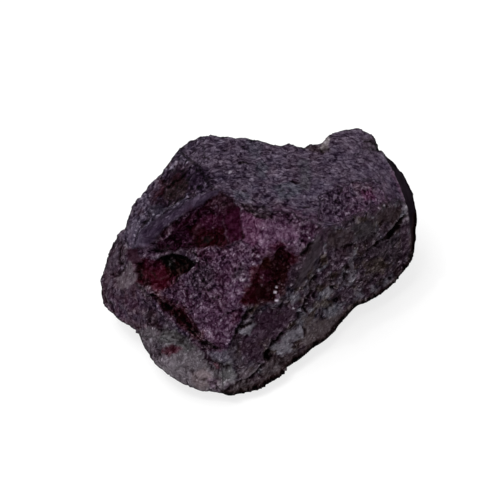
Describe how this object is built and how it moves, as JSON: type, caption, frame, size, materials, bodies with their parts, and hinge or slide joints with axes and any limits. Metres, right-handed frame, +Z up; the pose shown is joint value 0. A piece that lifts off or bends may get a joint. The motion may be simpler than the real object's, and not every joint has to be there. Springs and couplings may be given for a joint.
{
  "type": "rubellite tourmaline crystal",
  "caption": "Rough blocky tourmaline crystal end, dusky purple with wine red glassy breaks, pale mica at its foot, resting on a flat underside.",
  "frame": {"origin": "centre of the footprint, on the plane of the resting face", "axes": "+Z up, +X along the longest side from the low lobe to the steep broken end, +Y towards the rear"},
  "size_m": [0.0422, 0.0322, 0.0196],
  "materials": {
    "tourmaline": "sugary broken crystal, vitreous to frosted, wine red where freshly chipped"
  },
  "bodies": {
    "root": {"rubellite_crystal": "tourmaline"}
  },
  "joints": []
}
